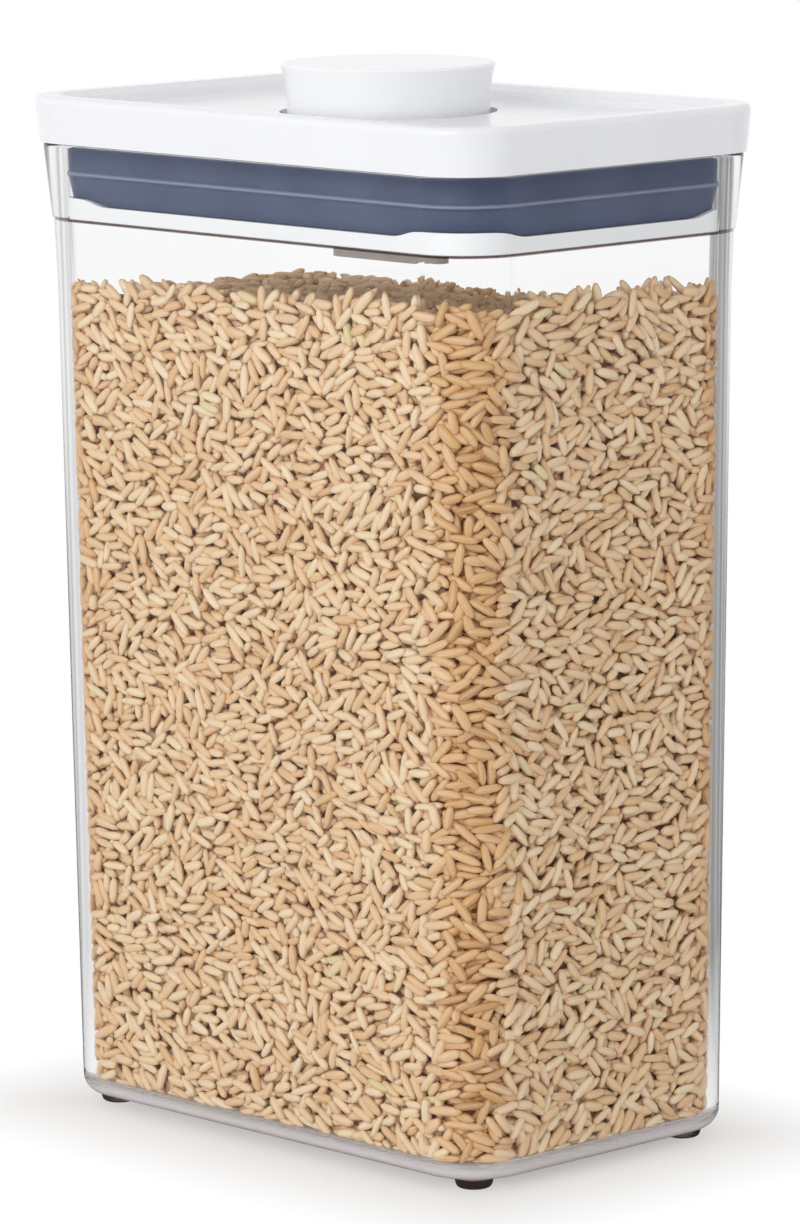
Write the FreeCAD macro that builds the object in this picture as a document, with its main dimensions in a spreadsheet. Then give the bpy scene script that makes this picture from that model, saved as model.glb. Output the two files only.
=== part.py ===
import FreeCAD, Part
import math
import os
import re
import Sketcher

# Airtight canister: a clear tapered body and a white lid whose push button squeezes a silicone gasket.
# Millimetres, +Z up, origin under the middle of the base, X along the long side.

doc = FreeCAD.newDocument("airtight_canister")
sheet = doc.addObject("Spreadsheet::Sheet", "Sizes")

SIZES = [
    # plan of the lid; every other outline is set in from it
    ("lid_length", 158.0), ("lid_width", 103.0), ("lid_corner", 16.0),
    # canister: heights above the table and insets from the lid plan
    ("foot_height", 2.8), ("foot_radius", 4.0), ("foot_inset", 16.5), ("foot_round", 1.2),
    ("foot_taper", 18.0),
    ("base_inset", 5.65), ("base_round", 4.5), ("floor_thickness", 2.6), ("floor_round", 3.0),
    ("wall", 3.0), ("inner_corner", 12.5),
    ("rim_height", 237.0), ("rim_inset", 1.25), ("rim_wall", 4.95), ("rim_round", 0.7),
    ("ledge_drop", 17.9), ("ledge_inset", 2.95), ("ledge_step", 0.3),
    ("shoulder_drop", 34.6), ("shoulder_inset", 3.45),
    # lid cover
    ("seat_gap", 0.2), ("lid_rise", 11.2), ("lid_draft", 1.1), ("lid_wall", 2.4), ("lid_round", 1.5),
    ("rim_land", 5.2), ("recess_slope", 1.6), ("recess_drop", 1.4), ("recess_ledge", 1.2),
    ("panel_slope", 0.9), ("panel_drop", 1.6), ("panel_thickness", 2.0), ("recess_corner", 12.0),
    ("well_wall", 1.5), ("boss_radius", 3.5), ("screw_inset_x", 19.0), ("screw_inset_y", 22.0),
    # button, plunger and spring
    ("button_radius", 24.25), ("button_flare", 1.35), ("button_rise", 11.6), ("button_travel", 10.5),
    ("button_wall", 1.8), ("button_edge", 0.6), ("button_straight", 2.6), ("skirt_drop", 7.4),
    ("well_gap", 0.4),
    ("blade_gap", 2.3), ("track_width", 8.0), ("track_height", 14.5),
    ("spring_wire", 1.2), ("spring_turns", 5.0),
    # levers and seal plate travel
    ("plate_lift", 2.4), ("lever_tilt", 15.0), ("lever_width", 5.0), ("lever_thickness", 3.0),
    ("lever_offset", 12.0), ("lever_gap", 0.6), ("tip_gap", 0.8), ("lever_hub", 3.0),
    ("axle_radius", 1.5), ("axle_gap", 0.05), ("tab_gap", 0.8), ("tab_width", 3.0),
    # frame
    ("frame_gap", 0.2), ("flange_thickness", 2.0), ("core_wall", 1.6), ("core_gap", 0.95),
    ("bridge_width", 16.0), ("bridge_thickness", 3.0), ("bridge_gap", 0.5), ("leg_thickness", 3.5),
    ("screw_radius", 1.25), ("screw_head", 2.4), ("screw_head_height", 1.6), ("screw_depth", 3.6),
    # latch housing and pin
    ("housing_length", 32.0), ("housing_width", 8.0), ("housing_depth", 7.6), ("housing_floor", 1.4),
    ("housing_end", 2.7), ("housing_side", 1.7), ("housing_tower", 9.5), ("slide_gap", 0.3),
    ("collar_end", 0.8), ("collar_side", 2.0), ("collar_height", 1.5),
    ("pin_radius", 0.7), ("pin_height", 13.0), ("pin_ball", 1.1), ("trunnion_radius", 0.8),
    ("trunnion_rise", 1.8),
    # gasket and seal plate
    ("plate_gap", 0.55), ("plate_border", 5.5), ("plate_thickness", 4.0), ("plate_web", 2.0),
    ("plate_drop", 18.6),
    ("corner_rise", 1.55), ("corner_long", 20.0), ("corner_short", 15.0), ("corner_slope", 10.0),
    ("gasket_gap", 0.1), ("gasket_width", 4.2), ("gasket_set_in", 1.05), ("gasket_taper", 0.9),
    ("fin_gap", 0.25), ("fin_drop", 7.2), ("fin_half", 0.8), ("hook_thickness", 2.0), ("hook_post", 3.0),
]
for row, (alias, number) in enumerate(SIZES, start=1):
    sheet.set("A%d" % row, alias)
    sheet.set("B%d" % row, str(number))
    sheet.setAlias("B%d" % row, alias)
doc.recompute()
ALIASES = {alias for alias, _ in SIZES}
# How far a cut runs past the face it opens, and how close two places are to be the same
PAST = 1.0
SAME = 0.001

# Named levels and outlines, worked out from the sizes
MOUTH_INSET = "(rim_inset + rim_wall)"
FLOOR = "(foot_height + floor_thickness)"
FLOOR_INSET = "(base_inset + wall)"
FOOT_ROOT = "(foot_height + floor_thickness / 2)"
LEDGE_LINE = "(rim_height - ledge_drop)"
SHOULDER = "(rim_height - shoulder_drop)"
LID_BOTTOM = "(rim_height + seat_gap)"
LID_TOP = f"({LID_BOTTOM} + lid_rise)"
LEDGE = f"({LID_TOP} - recess_drop)"
PANEL = f"({LEDGE} - panel_drop)"
PANEL_UNDER = f"({PANEL} - panel_thickness)"
LEDGE_INSET = "(rim_land + recess_slope)"
PANEL_EDGE = f"({LEDGE_INSET} + recess_ledge)"
BUTTON_RIM = "(button_radius + button_flare)"
WELL = f"({BUTTON_RIM} + well_gap)"
BUTTON_TOP = f"({PANEL} + button_rise)"
BUTTON_UNDER = f"({BUTTON_TOP} - button_wall)"
SKIRT = f"({PANEL} - skirt_drop)"
FLANGE_TOP = f"({LID_BOTTOM} + flange_thickness)"
PLATE_BOTTOM = f"({LID_BOTTOM} - plate_drop)"
PLATE_TOP = f"({PLATE_BOTTOM} + plate_thickness)"
CORNER_TOP = f"({PLATE_TOP} + corner_rise)"
WEB_TOP = f"({PLATE_BOTTOM} + plate_web)"
BRIDGE = f"({WEB_TOP} + plate_lift + bridge_gap)"
BRIDGE_TOP = f"({BRIDGE} + bridge_thickness)"
HOUSING = f"({PLATE_BOTTOM} - housing_depth)"
POCKET = f"({HOUSING} + housing_floor)"
TOWER = f"({BRIDGE_TOP} + housing_tower)"
BLADE_LENGTH = "(housing_length - 2 * (housing_end + slide_gap))"
BLADE_WIDTH = "(housing_width - 2 * (housing_side + slide_gap))"
BLADE_BOTTOM = f"({POCKET} + blade_gap + button_travel)"
SPRING_RADIUS = "((housing_length / 2 + collar_end + button_radius - button_wall) / 2)"
SIN_TILT = "sin(lever_tilt * 1 deg)"
LONG_ARM = f"(button_travel / (2 * {SIN_TILT}))"
SHORT_ARM = f"(plate_lift / (2 * {SIN_TILT}))"
TIP_X = "sqrt((button_radius - button_wall / 2)^2 - lever_offset^2)"
PIVOT_X = f"({TIP_X} + {LONG_ARM})"
PIVOT_Z = f"({SKIRT} - tip_gap - lever_thickness / 2 - button_travel / 2)"
HOOK_UNDER = f"({PIVOT_Z} - plate_lift / 2 + lever_thickness / 2 + lever_gap)"
GASKET_INSET = f"({MOUTH_INSET} + gasket_set_in)"
CORE_INSET = f"({GASKET_INSET} + gasket_width + gasket_gap)"
CORE_BOTTOM = f"({CORNER_TOP} + plate_lift + core_gap)"
CORE_DEPTH = f"({LID_BOTTOM} - {CORE_BOTTOM})"
PLATE_INSET = f"({MOUTH_INSET} + plate_gap)"
WEB_INSET = f"({PLATE_INSET} + plate_border)"
TAB_Y = "(lever_offset + lever_width / 2 + tab_gap)"
SCREW_X = "(lid_length / 2 - screw_inset_x)"
SCREW_Y = "(lid_width / 2 - screw_inset_y)"


def tied(text):
    """The expression with each size name pointing at the sheet."""
    return re.sub(r"[a-z_]+", lambda m: "Sizes." + m.group() if m.group() in ALIASES else m.group(), str(text))


def value(text):
    """The present number of an expression."""
    result = sheet.evalExpression(tied(text))
    return float(getattr(result, "Value", result))


def bind(thing, **properties):
    """Ties properties to expressions; double underscores stand for dots."""
    for name, text in properties.items():
        thing.setExpression(name.replace("__", "."), tied(text))
    return thing


def place(thing, x=0, y=0, z=0):
    return bind(thing, Placement__Base__x=x, Placement__Base__y=y, Placement__Base__z=z)


def box(name, x, y, z, length, width, height):
    """A block centred on x and y, standing on z."""
    thing = bind(doc.addObject("Part::Box", name), Length=length, Width=width, Height=height)
    return place(thing, f"({x}) - ({length}) / 2", f"({y}) - ({width}) / 2", z)


def rod(name, x, y, z, radius, height):
    """An upright cylinder standing on z."""
    thing = bind(doc.addObject("Part::Cylinder", name), Radius=radius, Height=height)
    return place(thing, x, y, z)


def cross_rod(name, x, y, z, radius, length):
    """A cylinder along Y, centred on y."""
    thing = doc.addObject("Part::Cylinder", name)
    thing.Placement.Rotation = FreeCAD.Rotation(FreeCAD.Vector(1, 0, 0), 90)
    bind(thing, Radius=radius, Height=length)
    return place(thing, x, f"({y}) + ({length}) / 2", z)


def ball(name, x, y, z, radius):
    return place(bind(doc.addObject("Part::Sphere", name), Radius=radius), x, y, z)


def fuse(name, pieces):
    thing = doc.addObject("Part::MultiFuse", name)
    thing.Shapes = pieces
    thing.Refine = True
    return thing


def cut(name, base, tools):
    thing = doc.addObject("Part::Cut", name)
    thing.Base = base
    thing.Tool = tools[0] if len(tools) == 1 else fuse(name + "_tools", tools)
    thing.Refine = True
    return thing


def obround(name, z, length, width, height):
    """An upright block with round ends, long in X."""
    half = f"(({length}) - ({width})) / 2"
    middle = box(name + "_middle", 0, 0, z, f"({length}) - ({width})", width, height)
    ends = [rod(f"{name}_end_{side}", f"{side} * {half}", 0, z, f"({width}) / 2", height) for side in (-1, 1)]
    return fuse(name, [middle] + ends)


def new_body(name):
    return doc.addObject("PartDesign::Body", name)


def plane(body, role):
    return next(item for item in body.Origin.OriginFeatures if item.Role == role)


def new_sketch(body, name, role, height=0):
    sketch = body.newObject("Sketcher::SketchObject", name)
    sketch.AttachmentSupport = [(plane(body, role), "")]
    sketch.MapMode = "FlatFace"
    return bind(sketch, AttachmentOffset__Base__z=height)


def dimension(sketch, kind, name, text, *places):
    """A named driving constraint tied to the sizes."""
    index = sketch.addConstraint(Sketcher.Constraint(kind, *places, value(text)))
    sketch.renameConstraint(index, name)
    sketch.setExpression("Constraints." + name, tied(text))


def outline(body, name, height, inset, corner):
    """A rounded rectangle set in from the lid plan."""
    sketch = new_sketch(body, name, "XY_Plane", height)
    length, width = f"lid_length - 2 * ({inset})", f"lid_width - 2 * ({inset})"
    half_x, half_y, radius = value(length) / 2, value(width) / 2, value(corner)
    flat_x, flat_y = half_x - radius, half_y - radius
    up = FreeCAD.Vector(0, 0, 1)
    ends = [((-flat_x, -half_y), (flat_x, -half_y)), ((half_x, -flat_y), (half_x, flat_y)),
            ((flat_x, half_y), (-flat_x, half_y)), ((-half_x, flat_y), (-half_x, -flat_y))]
    centres = [(flat_x, -flat_y), (flat_x, flat_y), (-flat_x, flat_y), (-flat_x, -flat_y)]
    for k in range(4):
        start, end = (FreeCAD.Vector(*point, 0) for point in ends[k])
        sketch.addGeometry(Part.LineSegment(start, end))
        circle = Part.Circle(FreeCAD.Vector(*centres[k], 0), up, radius)
        first = math.radians(90 * (k - 1))
        sketch.addGeometry(Part.ArcOfCircle(circle, first, first + math.pi / 2))
    for k in range(4):
        line, arc, following = 2 * k, 2 * k + 1, (2 * k + 2) % 8
        sketch.addConstraint(Sketcher.Constraint("Tangent", line, 2, arc, 1))
        sketch.addConstraint(Sketcher.Constraint("Tangent", arc, 2, following, 1))
        sketch.addConstraint(Sketcher.Constraint("Vertical" if k % 2 else "Horizontal", line))
        if k:
            sketch.addConstraint(Sketcher.Constraint("Equal", 1, arc))
    sketch.addConstraint(Sketcher.Constraint("Symmetric", 7, 3, 3, 3, -1, 1))
    dimension(sketch, "DistanceX", "length", length, 6, 1, 2, 1)
    dimension(sketch, "DistanceY", "width", width, 0, 1, 4, 1)
    dimension(sketch, "Radius", "corner", corner, 1)
    return sketch


def circles(body, name, height, rings):
    """Circles at tied places: each ring is x, y, radius."""
    sketch = new_sketch(body, name, "XY_Plane", height)
    for k, (x, y, radius) in enumerate(rings):
        centre = FreeCAD.Vector(value(x), value(y), 0)
        sketch.addGeometry(Part.Circle(centre, FreeCAD.Vector(0, 0, 1), value(radius)))
        for kind, label, text in (("DistanceX", "x", x), ("DistanceY", "y", y)):
            dimension(sketch, kind, f"{label}_{k}", text, -1, 1, k, 3)
        dimension(sketch, "Radius", f"radius_{k}", radius, k)
    return sketch


def profile(body, name, role, corners, bows):
    """A closed outline through tied corners; bows gives a side's bend, 1 left or -1 right, and radius."""
    sketch = new_sketch(body, name, role)
    points = [FreeCAD.Vector(value(x), value(y), 0) for x, y in corners]
    count = len(points)
    heads = []
    for k in range(count):
        start, end = points[k], points[(k + 1) % count]
        curve = Part.LineSegment(start, end)
        if k in bows:
            chord = end - start
            side = FreeCAD.Vector(-chord.y, chord.x, 0).normalize()
            bend, radius = bows[k][0], value(bows[k][1])
            centre = (start + end) / 2 - side * bend * math.sqrt(radius ** 2 - (chord.Length / 2) ** 2)
            first, last = (math.atan2(spot.y - centre.y, spot.x - centre.x) for spot in (end, start)[::bend])
            last += 2 * math.pi if last < first else 0
            curve = Part.ArcOfCircle(Part.Circle(centre, FreeCAD.Vector(0, 0, 1), radius), first, last)
        sketch.addGeometry(curve)
        placed = sketch.Geometry[k]
        heads.append(1 if (placed.StartPoint - start).Length < (placed.EndPoint - start).Length else 2)
    for k in range(count):
        before = (k - 1) % count
        sketch.addConstraint(Sketcher.Constraint("Coincident", before, 3 - heads[before], k, heads[k]))
    for k, (x, y) in enumerate(corners):
        dimension(sketch, "DistanceX", f"x_{k}", x, -1, 1, k, heads[k])
        dimension(sketch, "DistanceY", f"y_{k}", y, -1, 1, k, heads[k])
    for k, (_, radius) in bows.items():
        dimension(sketch, "Radius", f"bow_{k}", radius, k)
    return sketch


def loft(body, name, sections, subtract=False):
    kind = "PartDesign::SubtractiveLoft" if subtract else "PartDesign::AdditiveLoft"
    thing = body.newObject(kind, name)
    thing.Profile = sections[0]
    thing.Sections = sections[1:]
    thing.Ruled = True
    return thing


def pad(body, name, sketch, length):
    thing = body.newObject("PartDesign::Pad", name)
    thing.Profile = sketch
    return bind(thing, Length=length)


def pocket(body, name, sketch, depth):
    """Cuts downwards from the sketch."""
    thing = body.newObject("PartDesign::Pocket", name)
    thing.Profile = sketch
    return bind(thing, Length=depth)


def spin(body, name, sketch):
    thing = body.newObject("PartDesign::Revolution", name)
    thing.Profile = sketch
    thing.ReferenceAxis = (sketch, ["V_Axis"])
    thing.Angle = 360
    return thing


def round_edges(body, name, radius, chosen):
    """Fillets the edges of the body's tip that chosen accepts."""
    doc.recompute()
    base = body.Tip
    names = [f"Edge{k}" for k, edge in enumerate(base.Shape.Edges, start=1) if chosen(edge)]
    thing = body.newObject("PartDesign::Fillet", name)
    thing.Base = (base, names)
    return bind(thing, Radius=radius)


def level_edge(height, inset):
    """Accepts the level edges of the outline at that height and inset."""
    z, reach = value(height), value(f"lid_length / 2 - ({inset})")
    side = value(f"lid_width / 2 - ({inset})")

    def test(edge):
        bounds = edge.BoundBox
        level = abs(bounds.ZMin - z) < SAME and abs(bounds.ZMax - z) < SAME
        far = max(abs(bounds.XMin), abs(bounds.XMax))
        wide = max(abs(bounds.YMin), abs(bounds.YMax))
        return level and (abs(far - reach) < SAME or abs(wide - side) < SAME)
    return test


def named(thing, label):
    thing.Label = label
    return thing


def canister():
    body = new_body("canister_body")
    base = outline(body, "base_outline", "foot_height", "base_inset", "lid_corner")
    shoulder = outline(body, "shoulder_outline", SHOULDER, "shoulder_inset", "lid_corner")
    ledge = outline(body, "ledge_outline", LEDGE_LINE, "ledge_inset", "lid_corner")
    loft(body, "lower_wall", [base, shoulder, ledge])
    above = outline(body, "above_ledge", LEDGE_LINE, "ledge_inset - ledge_step", "lid_corner")
    rim = outline(body, "rim_outline", "rim_height", "rim_inset", "lid_corner")
    loft(body, "rim_wall_flare", [above, rim])
    round_edges(body, "bottom_edge", "base_round", level_edge("foot_height", "base_inset"))
    floor = outline(body, "floor_outline", FLOOR, FLOOR_INSET, "inner_corner")
    mouth = outline(body, "mouth_outline", "rim_height", MOUTH_INSET, "inner_corner")
    loft(body, "inside", [floor, mouth], subtract=True)
    round_edges(body, "floor_edge", "floor_round", level_edge(FLOOR, FLOOR_INSET))
    round_edges(body, "rim_outer_edge", "rim_round", level_edge("rim_height", "rim_inset"))
    round_edges(body, "rim_inner_edge", "rim_round", level_edge("rim_height", MOUTH_INSET))
    spots = [(f"{sx} * (lid_length / 2 - foot_inset)", f"{sy} * (lid_width / 2 - foot_inset)", "foot_radius")
             for sx in (-1, 1) for sy in (-1, 1)]
    feet = pad(body, "feet", circles(body, "foot_circles", 0, spots), FOOT_ROOT)
    bind(feet, TaperAngle="foot_taper")
    round_edges(body, "foot_edges", "foot_round", lambda edge: edge.BoundBox.ZMax < SAME)
    return named(body, "canister")


def lid_cover():
    body = new_body("cover_body")
    lower = outline(body, "cover_lower", LID_BOTTOM, "lid_draft", "lid_corner - lid_draft")
    bind(pad(body, "cover_side", lower, "lid_rise"), TaperAngle="atan(lid_draft / lid_rise)")
    round_edges(body, "cover_edge", "lid_round", level_edge(LID_TOP, 0))
    recess = outline(body, "recess_top", LID_TOP, "rim_land", "recess_corner")
    ledge = outline(body, "recess_ledge_outline", LEDGE, LEDGE_INSET, "recess_corner")
    loft(body, "recess", [ledge, recess], subtract=True)
    step = outline(body, "panel_top_outline", LEDGE, PANEL_EDGE, "recess_corner")
    panel = outline(body, "panel_outline", PANEL, f"{PANEL_EDGE} + panel_slope", "recess_corner")
    loft(body, "panel_recess", [panel, step], subtract=True)
    under = outline(body, "under_lower", LID_BOTTOM, "lid_draft + lid_wall", "recess_corner")
    inner = outline(body, "under_upper", PANEL_UNDER, "lid_draft + lid_wall", "recess_corner")
    loft(body, "underside", [under, inner], subtract=True)
    posts = [(f"{sx} * {SCREW_X}", f"{sy} * {SCREW_Y}") for sx in (-1, 1) for sy in (-1, 1)]
    solid = circles(body, "post_circles", FLANGE_TOP,
                    [(0, 0, f"{WELL} + well_wall")] + [(x, y, "boss_radius") for x, y in posts])
    pad(body, "well_and_bosses", solid, f"{PANEL_UNDER} - {FLANGE_TOP}")
    well = circles(body, "well_circle", f"{PANEL} + {PAST}", [(0, 0, WELL)])
    pocket(body, "well", well, f"{PANEL} + {PAST} - {LID_BOTTOM}")
    holes = circles(body, "pilot_circles", f"{FLANGE_TOP} + screw_depth + frame_gap",
                    [(x, y, "screw_radius + axle_gap") for x, y in posts])
    pocket(body, "pilot_holes", holes, "screw_depth + frame_gap")
    return named(body, "lid_cover")


def button_cap():
    body = new_body("button_body")
    bow_low = f"{PANEL} + button_straight"
    bow_high = f"{BUTTON_TOP} - button_edge"
    inner = "button_radius - button_wall"
    corners = [(0, BUTTON_UNDER), (inner, BUTTON_UNDER), (inner, SKIRT), ("button_radius", SKIRT),
               ("button_radius", bow_low), (BUTTON_RIM, bow_high),
               (f"{BUTTON_RIM} - button_edge", BUTTON_TOP), (0, BUTTON_TOP)]
    rise = f"({bow_high} - ({bow_low}))"
    bow = f"(button_flare^2 + {rise}^2) / (2 * button_flare)"
    spin(body, "button_turned", profile(body, "button_profile", "XZ_Plane", corners, {4: (1, bow)}))
    return named(body, "button_cap")


def plunger():
    blade = box("blade", 0, 0, BLADE_BOTTOM, BLADE_LENGTH, BLADE_WIDTH, f"{BUTTON_UNDER} - {BLADE_BOTTOM}")
    track = box("cam_track", 0, 0, f"{BLADE_BOTTOM} - {PAST}", "track_width", f"{BLADE_WIDTH} + 2 * {PAST}",
                f"track_height + {PAST}")
    return named(cut("plunger_cut", blade, [track]), "plunger")


def biarc(start, start_way, end, end_way):
    """Two tangent arcs from start to end with the given unit directions."""
    chord = start - end
    both = start_way + end_way
    a = 2 * (start_way.dot(end_way) - 1)
    b = 2 * chord.dot(both)
    reach = (-b - math.sqrt(b * b - 4 * a * chord.dot(chord))) / (2 * a)
    first, last = start + start_way * reach, end - end_way * reach
    joint = (first + last) / 2
    arcs = []
    for head, corner, tail in ((start, first, joint), (joint, last, end)):
        middle = (head + tail) / 2
        out = corner - middle
        half = (tail - head).Length / 2
        angle = math.atan2(out.Length, half)
        arcs.append(Part.Arc(head, middle + out * (half * math.tan(angle / 2) / out.Length), tail).toShape())
    return arcs


def return_spring():
    wire, radius, turns = value("spring_wire"), value(SPRING_RADIUS), value("spring_turns")
    bottom = value(BRIDGE_TOP) + wire / 2
    height = value(BUTTON_UNDER) - wire / 2 - bottom
    steps = round(4 * turns)
    slope = height / (2 * math.pi * turns * radius)

    def station(k):
        angle = 2 * math.pi * turns * k / steps
        spot = FreeCAD.Vector(radius * math.cos(angle), radius * math.sin(angle), bottom + height * k / steps)
        return spot, FreeCAD.Vector(-math.sin(angle), math.cos(angle), slope).normalize()

    arcs = []
    for k in range(steps):
        arcs += biarc(*station(k), *station(k + 1))
    start, way = station(0)
    section = Part.Wire(Part.Circle(start, way, wire / 2).toShape())
    shape = Part.Wire(arcs).makePipeShell([section], True, False)
    print("spring: least gap between turns %.2f mm" % (height / turns - wire))
    thing = doc.addObject("Part::Feature", "spring_coil")
    thing.Shape = shape
    return named(thing, "return_spring")


def inner_frame():
    body = new_body("flange_body")
    low = outline(body, "flange_low", LID_BOTTOM, "lid_draft + lid_wall + frame_gap", "recess_corner")
    pad(body, "flange", low, "flange_thickness")
    core = outline(body, "core_outline", CORE_BOTTOM, CORE_INSET, "inner_corner - gasket_width")
    pad(body, "core", core, CORE_DEPTH)
    hollow = outline(body, "core_hollow", LID_BOTTOM, f"{CORE_INSET} + core_wall",
                     "inner_corner - gasket_width - core_wall")
    pocket(body, "core_inside", hollow, CORE_DEPTH)
    holes = [(0, 0, f"{WELL} + well_wall")]
    holes += [(f"{sx} * {SCREW_X}", f"{sy} * {SCREW_Y}", "screw_radius + axle_gap")
              for sx in (-1, 1) for sy in (-1, 1)]
    pocket(body, "flange_holes", circles(body, "flange_circles", FLANGE_TOP, holes), "flange_thickness")
    leg_y = f"({WELL} + well_wall + leg_thickness / 2)"
    pieces = [body]
    arm = box("bridge_arm", 0, 0, BRIDGE, "bridge_width", f"2 * {leg_y} + leg_thickness", "bridge_thickness")
    middle = box("bridge_middle", 0, 0, BRIDGE, f"2 * {SPRING_RADIUS} + spring_wire", "bridge_width",
                 "bridge_thickness")
    pieces += [arm, middle]
    for side in (-1, 1):
        pieces.append(box(f"leg_{side}", 0, f"{side} * {leg_y}", BRIDGE, "bridge_width", "leg_thickness",
                          f"{LID_BOTTOM} - {BRIDGE}"))
        for row in (-1, 1):
            low_edge = f"({PIVOT_Z} - lever_hub)"
            pieces.append(box(f"tab_{side}_{row}", f"{side} * {PIVOT_X}", f"{row} * ({TAB_Y} + tab_width / 2)",
                              low_edge, "2 * lever_hub", "tab_width", f"{LID_BOTTOM} - {low_edge}"))
    slot = obround("bridge_slot", f"{BRIDGE} - {PAST}", "housing_length + 2 * slide_gap",
                   "housing_width + 2 * slide_gap", f"bridge_thickness + 2 * {PAST}")
    bores = [cross_rod(f"axle_bore_{side}", f"{side} * {PIVOT_X}", 0, PIVOT_Z, "axle_radius + axle_gap",
                       f"2 * ({TAB_Y} + tab_width + {PAST})") for side in (-1, 1)]
    return named(cut("frame_cut", fuse("frame_fused", pieces), [slot] + bores), "inner_frame")


def frame_screws():
    pieces = []
    for sx in (-1, 1):
        for sy in (-1, 1):
            x, y, tag = f"{sx} * {SCREW_X}", f"{sy} * {SCREW_Y}", f"{sx}_{sy}"
            head = rod(f"head_{tag}", x, y, f"{LID_BOTTOM} - screw_head_height", "screw_head",
                       "screw_head_height")
            shank = rod(f"shank_{tag}", x, y, LID_BOTTOM, "screw_radius", "flange_thickness + screw_depth")
            pieces.append(fuse(f"screw_{tag}", [head, shank]))
    group = doc.addObject("Part::Compound", "screw_group")
    group.Links = pieces
    return named(group, "frame_screws")


def latch_housing():
    outer = obround("housing_outer", HOUSING, "housing_length", "housing_width", f"{TOWER} - {HOUSING}")
    collar = obround("housing_collar", BRIDGE_TOP, "housing_length + 2 * collar_end",
                     "housing_width + 2 * collar_side", "collar_height")
    inside = box("housing_pocket", 0, 0, POCKET, "housing_length - 2 * housing_end",
                 "housing_width - 2 * housing_side", f"{TOWER} - {POCKET} + {PAST}")
    bore = cross_rod("trunnion_bore", 0, 0, f"{POCKET} + trunnion_rise", "trunnion_radius + axle_gap",
                     f"housing_width + 2 * {PAST}")
    return named(cut("housing_cut", fuse("housing_fused", [outer, collar]), [inside, bore]), "latch_housing")


def latch_pin():
    pivot = f"{POCKET} + trunnion_rise"
    pieces = [cross_rod("trunnion", 0, 0, pivot, "trunnion_radius", "housing_width"),
              rod("pin_wire", 0, 0, pivot, "pin_radius", "pin_height"),
              ball("pin_end", 0, 0, f"{pivot} + pin_height", "pin_ball")]
    return named(fuse("pin_fused", pieces), "latch_pin")


def lever(side, row, label):
    """A rocker on its axle: the long arm points at the button, its tip raised by the tilt."""
    long_x, short_x = f"{-side} * {LONG_ARM}", f"{side} * {SHORT_ARM}"
    half = "lever_thickness / 2"
    bar = box(label + "_bar", f"({long_x} + {short_x}) / 2", 0, f"-{half}", f"{LONG_ARM} + {SHORT_ARM}",
              "lever_width", "lever_thickness")
    ends = [cross_rod(label + "_long_tip", long_x, 0, 0, half, "lever_width"),
            cross_rod(label + "_short_tip", short_x, 0, 0, half, "lever_width"),
            cross_rod(label + "_hub", 0, 0, 0, "lever_hub", "lever_width")]
    bore = cross_rod(label + "_bore", 0, 0, 0, "axle_radius + axle_gap", f"lever_width + 2 * {PAST}")
    thing = cut(label + "_cut", fuse(label + "_fused", [bar] + ends), [bore])
    thing.Placement.Rotation = FreeCAD.Rotation(FreeCAD.Vector(0, 1, 0), 1)
    bind(thing, Placement__Rotation__Angle=f"{side} * lever_tilt * 1 deg")
    return named(place(thing, f"{side} * {PIVOT_X}", f"{row} * lever_offset", PIVOT_Z), label)


def lever_axle(side, label):
    length = f"2 * ({TAB_Y} + tab_width)"
    return named(cross_rod(label + "_rod", f"{side} * {PIVOT_X}", 0, PIVOT_Z, "axle_radius", length), label)


def corner_cuts(body, tag, floor, top):
    """Cuts the raised border down to floor along the sides; it rises to each corner in an S of two arcs."""
    waist = f"({floor} + {top}) / 2"
    radius = "((corner_slope^2 + corner_rise^2) / (4 * corner_rise))"
    sway = {1: (-1, radius), 2: (1, radius), 4: (1, radius), 5: (-1, radius)}
    for role, size, flat in (("XZ_Plane", "lid_length", "corner_long"),
                             ("YZ_Plane", "lid_width", "corner_short")):
        foot = f"({size} / 2 - {flat} - corner_slope)"
        middle, head = f"({foot} + corner_slope / 2)", f"({foot} + corner_slope)"
        corners = [(f"-{foot}", floor), (foot, floor), (middle, waist), (head, top),
                   (f"-{head}", top), (f"-{middle}", waist)]
        sketch = profile(body, f"{tag}_{role}", role, corners, sway)
        thing = pocket(body, f"{tag}_cut_{role}", sketch, "2 * lid_length")
        thing.Midplane = True


def seal_plate():
    body = new_body("plate_body")
    border = outline(body, "plate_outline", PLATE_BOTTOM, PLATE_INSET, "inner_corner")
    pad(body, "plate_full", border, "plate_thickness + corner_rise")
    corner_cuts(body, "plate_side", PLATE_TOP, CORNER_TOP)
    web = outline(body, "web_outline", f"{CORNER_TOP} + {PAST}", WEB_INSET, "inner_corner - plate_border")
    pocket(body, "web", web, f"{CORNER_TOP} + {PAST} - {WEB_TOP}")
    pieces = [body]
    start = f"({PIVOT_X} + lever_hub + 2 * lever_gap)"
    reach = f"({SHORT_ARM} + hook_post - lever_hub + lever_thickness)"
    for side in (-1, 1):
        for row in (-1, 1):
            tag, y = f"{side}_{row}", f"{row} * lever_offset"
            pieces.append(box("hook_" + tag, f"{side} * ({start} + {reach} / 2)", y, HOOK_UNDER, reach,
                              "lever_width", "hook_thickness"))
            pieces.append(box("post_" + tag, f"{side} * ({start} + {reach} - hook_post / 2)", y, WEB_TOP,
                              "hook_post", "lever_width", f"{HOOK_UNDER} - {WEB_TOP} + hook_thickness"))
    slot = obround("plate_slot", f"{PLATE_BOTTOM} - {PAST}", "housing_length + 4 * slide_gap",
                   "housing_width + 4 * slide_gap", f"plate_web + 2 * {PAST}")
    return named(cut("plate_cut", fuse("plate_fused", pieces), [slot]), "seal_plate")


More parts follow.
